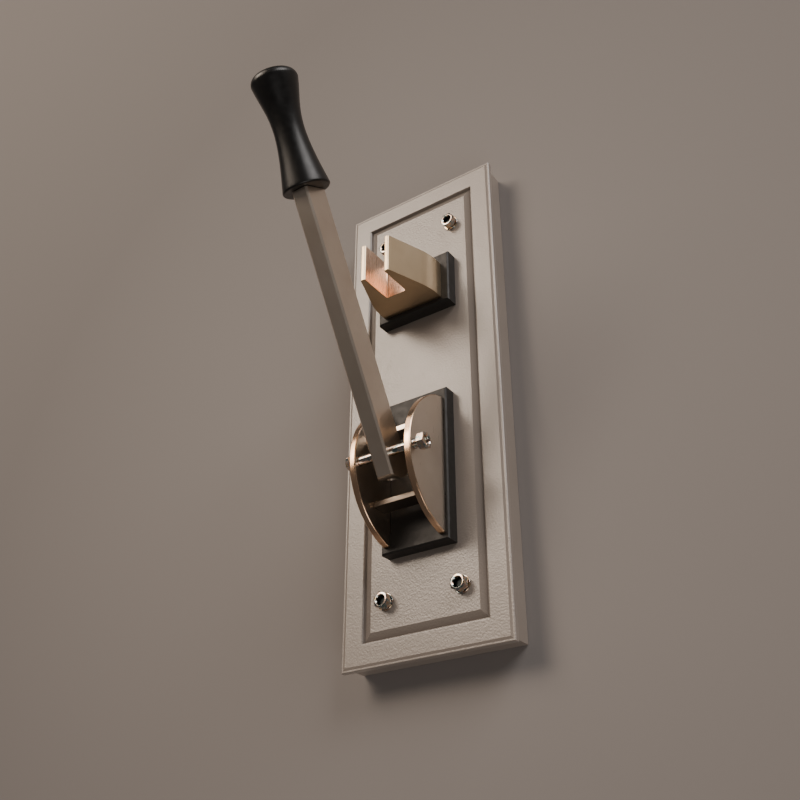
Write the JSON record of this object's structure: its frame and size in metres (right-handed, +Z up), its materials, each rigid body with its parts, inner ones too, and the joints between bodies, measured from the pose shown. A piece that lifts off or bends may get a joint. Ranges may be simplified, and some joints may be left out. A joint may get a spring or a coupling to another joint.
{
  "type": "knife blade switch",
  "caption": "Wall-mounted knife blade switch: a lever blade with a turned handle swings between two cheeks and closes into a forked contact jaw.",
  "frame": {"origin": "centre of the back box's rear face, which lies on the wall", "axes": "+Y points into the wall, the switch stands out towards -Y, +Z is up and X runs along the pivot rod"},
  "size_m": [0.1024, 0.1663, 0.3],
  "materials": {
    "paint": "semi-gloss stoved enamel, light orange peel in the field",
    "phenolic": "satin moulded phenolic",
    "bronze": "satin rose-coloured copper alloy",
    "chrome": "bright plated",
    "black_plastic": "satin black",
    "brass": "machined",
    "steel": "zinc plated",
    "rubber": "matte"
  },
  "bodies": {
    "base": {"back_box": "paint", "cover_plate": "paint", "cable_grommet": "rubber", "panel_stud_1": "chrome", "panel_washer_1": "chrome", "panel_nut_1": "chrome", "panel_stud_2": "chrome", "panel_washer_2": "chrome", "panel_nut_2": "chrome", "panel_stud_3": "chrome", "panel_washer_3": "chrome", "panel_nut_3": "chrome", "panel_stud_4": "chrome", "panel_washer_4": "chrome", "panel_nut_4": "chrome", "jaw_block": "phenolic", "contact_jaw": "bronze", "jaw_screw_1": "steel", "jaw_screw_2": "steel", "hinge_block": "phenolic", "hinge_base_plate": "bronze", "hinge_screw_1": "steel", "hinge_screw_2": "steel", "hinge_screw_3": "steel", "hinge_screw_4": "steel", "cheek_left": "bronze", "cheek_right": "bronze", "cross_bar_upper": "bronze", "cross_bar_lower": "bronze", "jaw_sleeve": "phenolic", "jaw_terminal_washer": "steel", "jaw_terminal_nut": "steel", "jaw_terminal_stud": "brass", "hinge_sleeve": "phenolic", "hinge_terminal_washer": "steel", "hinge_terminal_nut": "steel", "hinge_terminal_stud": "brass"},
    "lever": {"pivot_rod": "chrome", "pivot_nut_left": "chrome", "pivot_nut_right": "chrome", "blade": "bronze", "blade_set_screw": "steel", "handle": "black_plastic", "handle_insert": "brass"}
  },
  "joints": [
    {"name": "blade_pivot", "type": "hinge", "parent": "base", "child": "lever", "pos_m": [0, -0.0518, -0.0527], "axis": [1, 0, 0], "range_deg": [-29.45, 149.5]}
  ]
}
